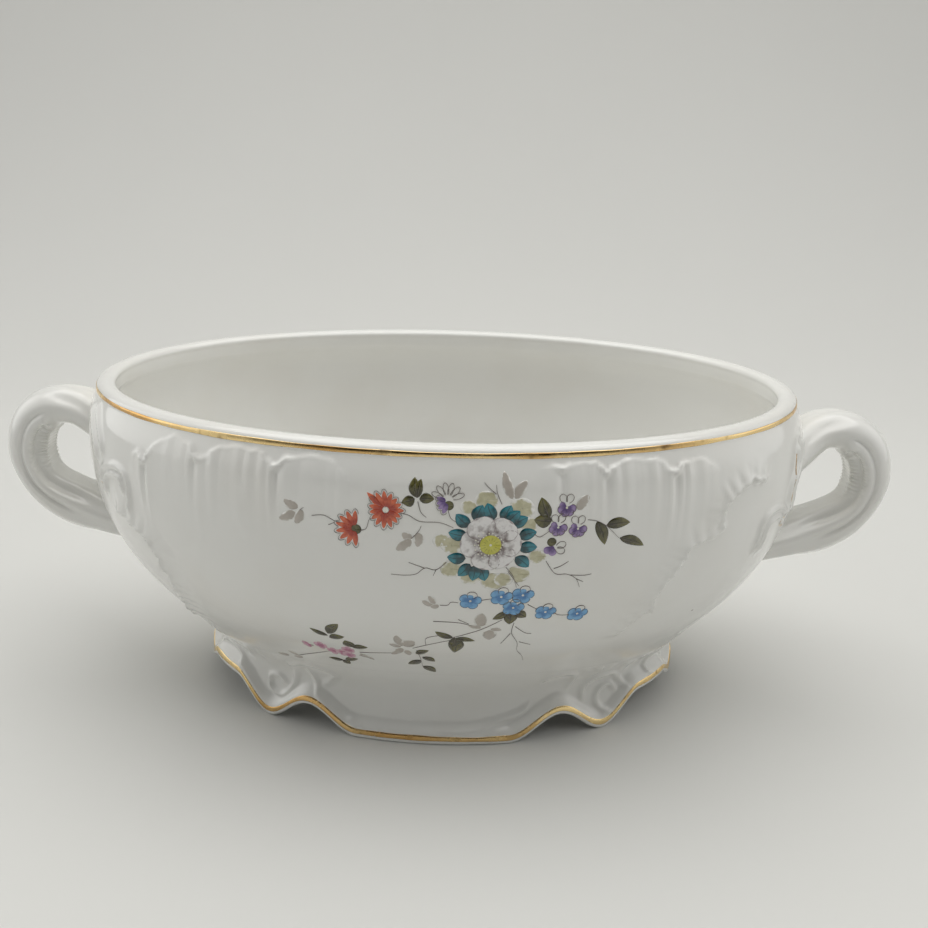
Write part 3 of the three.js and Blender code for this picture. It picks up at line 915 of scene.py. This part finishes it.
def taupe_leaves():
    for base, angle, length, width in [
        ((25.7, 12.3), 107, 9.2, 3.2), ((26.5, 12.2), 58, 6.8, 3.4), ((46.1, 16.3), 52, 5.9, 3.6),
        ((-41.2, 18.4), 155, 5.3, 3.0), ((-42.2, 19.8), 209, 6.4, 3.2), ((-39.9, 18.9), 244, 5.5, 3.2),
        ((-5.2, 25.9), 150, 3.6, 3.2), ((-5.4, 26.0), 221, 6.2, 3.5), ((-3.2, 23.6), 268, 5.0, 3.2),
        ((2.0, 51.6), 158, 4.6, 2.6), ((2.2, 51.0), 122, 4.2, 2.6), ((3.4, 51.6), 200, 3.0, 2.4),
        ((18.3, 62.4), 94, 7.2, 4.6), ((18.3, 63.2), 162, 5.0, 2.2), ((21.0, 64.6), -81, 6.4, 5.2),
        ((21.6, 64.0), -10, 4.2, 2.0), ((-11.1, 77.5), 100, 8.1, 3.6), ((-10.3, 77.4), 46, 6.1, 5.4),
        ((-11.4, 78.0), 160, 5.0, 2.6), ((-10.9, 79.1), 229, 8.3, 3.4), ((-9.9, 80.6), -76, 4.6, 3.4),
        ((-72.4, 103.0), 190, 7.3, 2.8), ((-65.4, 101.3), 150, 5.6, 2.8), ((-64.0, 101.8), 196, 6.0, 2.4),
        ((-30.5, 87.9), -46, 7.4, 2.8), ((-31.5, 89.6), -20, 6.0, 2.2), ((-50.0, 86.0), 170, 5.4, 2.6),
    ]:
        TAUPE.blade(base, angle, length, width, 0.04, 0.6)


def olive_leaves():
    for base, angle, length, width in [
        ((-3.8, 12.2), 97, 6.4, 3.6), ((-3.6, 12.2), 80, 6.0, 3.0), ((-4.4, 12.6), 198, 4.2, 3.6),
        ((-3.0, 12.6), 2, 4.6, 3.4), ((37.1, 18.6), 110, 7.2, 4.2), ((38.0, 19.4), 176, 5.6, 4.6),
        ((55.9, 22.1), 2, 8.0, 3.9), ((52.6, 20.6), -68, 9.0, 3.9), ((60.8, 27.0), -23, 9.8, 3.4),
        ((26.5, 54.6), 220, 6.0, 3.2), ((27.4, 55.3), -84, 6.0, 4.6), ((29.3, 55.2), -32, 4.8, 3.8),
        ((-40.1, 75.0), 148, 7.2, 3.2), ((-39.5, 73.4), 52, 9.6, 4.2), ((-39.8, 76.4), 17, 6.8, 3.8),
        ((-31.8, 82.2), 112, 5.4, 5.2), ((-31.9, 82.4), 12, 6.6, 3.8), ((8.5, 69.9), 148, 7.6, 3.4),
        ((8.8, 70.5), -9, 8.0, 3.2), ((9.0, 69.6), -88, 11.4, 6.0), ((-6.1, 83.5), 34, 6.4, 3.6),
        ((-3.6, 86.1), -41, 6.7, 4.0), ((-4.7, 89.7), 220, 7.7, 4.2), ((-4.0, 96.0), -47, 8.0, 4.6),
        ((-41.5, 97.6), 174, 6.6, 3.4), ((-41.8, 98.0), -42, 4.0, 4.4), ((-40.0, 97.4), 25, 7.4, 3.6),
    ]:
        leaf(base, angle, length, width)
    for centre, size in [((6.1, 14.4), 1.5), ((38.4, 26.8), 1.5), ((49.4, 57.7), 1.2), ((-22.6, 23.7), 1.7)]:
        OLIVE.blot(centre, size)


def small_flowers():
    spray((-13.3, 16.6), 15, 0, 336, 5.4, 1.7, ORANGE)
    ORANGE.blade((-15.2, 15.0), 138, 5.4, 1.9)
    DOTS.blot((-13.3, 16.6), 0.8)
    spray((-23.0, 23.4), 8, 88, 272, 5.4, 1.7, ORANGE)
    spray((5.7, 13.2), 4, 160, 250, 3.6, 1.7, PURPLE)
    for angle in (20, 48, 74, 100, 128, 156):
        outline((5.7, 12.6), angle, 5.4, 1.7)
    for centre in [(42.6, 15.4), (40.1, 21.8), (46.5, 22.6)]:
        for angle in (200, 252, 300, 350):
            PURPLE.petal(centre, angle, 3.0, 2.6)
            outline(centre, angle, 3.0, 2.6, 0.5)
        for angle in (118, 62):
            outline((centre[0], centre[1] - 1.0), angle, 3.6, 2.3, 0.2)
        PURPLE.petal(centre, 150, 2.6, 2.2)
        DOTS.blot(centre, 0.36)
    for angle in (218, 270):
        PURPLE.petal((38.9, 28.4), angle, 3.4, 2.6)
    for angle in (-30, 20):
        outline((39.4, 28.8), angle, 3.8, 2.4, 0.2)
    for centre in [(13.7, 49.3), (23.8, 47.5), (30.9, 47.0), (28.3, 52.7), (39.8, 55.5), (51.6, 57.5)]:
        for angle in (150, 222, 294, 366):
            BLUE.petal(centre, angle, 3.9, 3.5)
            outline(centre, angle, 3.8, 3.3, 0.72, 0.09)
        outline(centre, 78, 4.0, 3.4, 0.3)
        BLUE.petal(centre, 95, 2.6, 2.4)
        DOTS.blot(centre, 0.42)
    for centre in [(-46.6, 84.4), (-42.4, 88.4), (-38.6, 88.8), (-34.9, 85.4), (-36.0, 90.4)]:
        for angle in (10, 75, 150, 200, 265, 320):
            PINK.petal(centre, angle, 3.2 + 0.5 * math.sin(angle), 2.5)  # uneven lengths
    for angle in (150, 195, 230):
        PINK.petal((-51.6, 85.6), angle, 3.6, 2.2)


def stems():
    for places in [
        [(22.3, 13.8), (20.9, 10.3), (20.6, 7.7)], [(20.6, 10.6), (18.5, 8.8), (16.9, 7.0)],
        [(5.9, 16.0), (6.7, 18.4), (8.3, 19.6)],
        [(-8.6, 17.4), (-6.0, 18.0), (-2.7, 19.8), (3.4, 20.0), (7.6, 21.6)],
        [(-3.4, 13.4), (-2.5, 16.7), (-0.8, 18.4)],
        [(-21.4, 24.0), (-19.4, 23.2), (-18.4, 20.1), (-16.9, 19.4)],
        [(-36.7, 20.4), (-32.9, 19.9), (-29.4, 21.4), (-27.2, 21.8)], [(-31.4, 23.0), (-29.3, 21.9)],
        [(-40.6, 19.0), (-39.4, 18.0)], [(-5.2, 25.7), (-2.9, 22.8), (-2.3, 21.2)],
        [(5.6, 33.7), (2.4, 36.6), (-1.1, 36.1), (-3.9, 38.5), (-7.5, 39.2), (-11.9, 39.1)],
        [(-1.1, 36.2), (-4.1, 35.0), (-6.2, 34.2)], [(2.4, 36.6), (1.5, 39.0)],
        [(49.6, 19.8), (52.3, 20.3), (55.9, 22.3), (60.6, 27.0)],
        [(32.6, 23.8), (34.6, 24.9), (37.4, 22.9)],
        [(37.1, 33.7), (40.5, 38.5), (44.6, 39.1), (47.9, 41.2), (49.6, 44.8)],
        [(39.9, 36.6), (42.2, 35.7), (44.5, 34.1)], [(45.7, 39.5), (50.3, 40.0), (52.9, 39.7)],
        [(47.9, 41.2), (50.5, 42.6)], [(24.4, 35.5), (26.8, 38.7), (28.4, 43.6)],
        [(25.2, 37.0), (27.8, 41.0), (29.2, 43.0)], [(3.7, 51.5), (6.3, 51.4), (7.4, 50.0), (9.8, 50.2)],
        [(17.3, 49.0), (20.4, 48.4)], [(33.1, 51.4), (36.6, 53.9)],
        [(42.8, 56.2), (45.3, 57.6), (48.4, 57.8)], [(-65.1, 100.7), (-51.8, 93.6), (-44.1, 89.3)],
        [(-30.1, 86.5), (-23.4, 85.4), (-16.2, 84.1)], [(-7.0, 78.6), (-0.2, 74.9), (8.4, 71.0)],
        [(-1.6, 75.7), (-1.4, 70.6), (3.0, 68.4)], [(8.6, 69.4), (17.8, 64.5), (25.2, 58.8)],
        [(1.4, 59.8), (10.1, 60.3), (15.0, 62.0)], [(10.0, 58.5), (13.8, 60.9)],
        [(29.6, 60.6), (29.6, 66.6), (32.8, 73.3), (34.1, 79.7), (37.1, 84.6), (39.2, 90.0)],
        [(33.5, 73.0), (38.4, 75.5)], [(30.4, 62.8), (34.5, 66.8), (37.0, 67.5)],
        [(29.2, 67.0), (26.7, 73.9)], [(-5.6, 80.1), (-4.7, 85.6), (-4.4, 90.8), (-4.2, 96.6)],
    ]:
        PEN.stroke(places, 0.19, 0.45)


def gilt_traces():
    """Worn touches of gold on the end straps and beside the handle roots."""
    for places in [
        [(147.6, 13.5), (147.2, 17.5), (145.8, 21.0)], [(145.4, 22.5), (144.6, 26.5), (145.2, 31.0)],
        [(146.8, 38.4), (143.6, 38.0), (142.0, 40.4)], [(147.4, 41.8), (144.0, 41.2)],
        [(-135.5, 29.0), (-133.6, 31.0), (-134.4, 33.5)],
    ]:
        GOLD_PEN.stroke(places, 0.55, 0.5)


def paint_the_walls():
    washes()
    taupe_leaves()
    stems()
    olive_leaves()
    small_flowers()
    main_flower()
    gilt_traces()
    paints = {
        "olive_washes": WASH, "taupe_shadow_leaves": TAUPE, "olive_leaves": OLIVE, "teal_leaves": TEAL,
        "orange_daisies": ORANGE, "purple_blossoms": PURPLE, "blue_blossoms": BLUE, "pink_blossoms": PINK,
        "main_flower_petals": PETAL, "main_flower_heart": YELLOW, "stamen_dots": DOTS, "pen_lines": PEN,
        "heart_lines": OCHRE_PEN, "gilt_traces": GOLD_PEN,
    }
    for name, paint in paints.items():
        paint.piece(name)


# ---- Studio ----
def backdrop():
    """A paper sweep: flat under the bowl, curving up behind it."""
    width = 3.4
    start = 0.34
    radius = 0.55
    top = 2.6
    profile = [(y, 0.0) for y in (-2.6, -0.8, 0.0, start)]
    for angle in np.linspace(0, math.pi / 2, 25)[1:]:
        profile.append((start + radius * math.sin(angle), radius - radius * math.cos(angle)))
    profile.append((start + radius, top))
    points = [(x, y, z) for y, z in profile for x in (-width / 2, width / 2)]
    mesh = bpy.data.meshes.new("paper_sweep")
    faces = [(2 * i, 2 * i + 1, 2 * i + 3, 2 * i + 2) for i in range(len(profile) - 1)]
    mesh.from_pydata(points, [], faces)
    mesh.polygons.foreach_set("use_smooth", [True] * len(faces))
    mesh.materials.append(backdrop_paper())
    sweep = bpy.data.objects.new("paper_sweep", mesh)
    bpy.context.collection.objects.link(sweep)


def area_light(name, place, aim, size, power, colour):
    light = bpy.data.lights.new(name, "AREA")
    light.shape = "RECTANGLE"
    light.size, light.size_y = size
    light.energy = power
    light.color = colour
    lamp = bpy.data.objects.new(name, light)
    lamp.location = place
    direction = Vector(aim) - Vector(place)
    lamp.rotation_euler = direction.to_track_quat("-Z", "Y").to_euler()
    bpy.context.collection.objects.link(lamp)


def surroundings():
    """A neutral room: bright at both sides, dark to the front, and pale where the camera sees it."""
    nodes = Nodes(bpy.data.worlds.new("soft_room"))
    place = nodes.add("ShaderNodeTexCoord").outputs["Generated"]
    split = nodes.add("ShaderNodeSeparateXYZ", {"Vector": place})
    colour = (0.92, 0.92, 0.90)
    for axis, low, high, level in [
        ("X", 0.45, 0.95, (1.6, 1.6, 1.56)),
        ("X", -0.45, -0.95, (2.3, 2.3, 2.24)),
        ("Z", 0.35, 0.95, (0.95, 0.95, 0.926)),
        ("Y", 0.0, -0.9, (0.015, 0.015, 0.0146)),
    ]:
        colour = nodes.mix(nodes.ramp(split.outputs[axis], low, high), colour, level)
    seen = nodes.add("ShaderNodeLightPath").outputs["Is Camera Ray"]
    background = nodes.tree.nodes["Background"]
    nodes.put(background.inputs["Color"], nodes.mix(seen, colour, (0.9, 0.9, 0.88)))
    nodes.put(background.inputs["Strength"], 0.64)
    bpy.context.scene.world = nodes.owner


def studio():
    backdrop()
    surroundings()
    area_light("overhead_softbox", (0.05, 0.12, 1.45), (0, 0.05, 0), (2.2, 1.5), 17, (1.0, 0.99, 0.965))
    bpy.context.scene.view_settings.view_transform = "Standard"


def camera():
    """A 36 mm lens on a full-frame sensor, just above the bowl's front."""
    yaw, pitch, roll = (math.radians(angle) for angle in (1.53, -19.63, -1.42))
    turn = Matrix.Rotation(yaw, 3, "Z") @ Matrix.Rotation(pitch, 3, "X") @ Matrix.Rotation(roll, 3, "Y")
    looking = turn @ Matrix.Rotation(math.pi / 2, 3, "X")
    data = bpy.data.cameras.new("photo_view")
    data.lens = 36
    data.sensor_width = 36
    view = bpy.data.objects.new("photo_view", data)
    view.matrix_world = Matrix.Translation((0.0175, -0.3589, 0.2209)) @ looking.to_4x4()
    bpy.context.collection.objects.link(view)
    bpy.context.scene.camera = view


bowl_body()
foot_skirt()
rim_gilding()
foot_gilding()
handle(1, "right_handle_loop", "right_handle")
handle(-1, "left_handle_loop", "left_handle")
paint_the_walls()
studio()
camera()
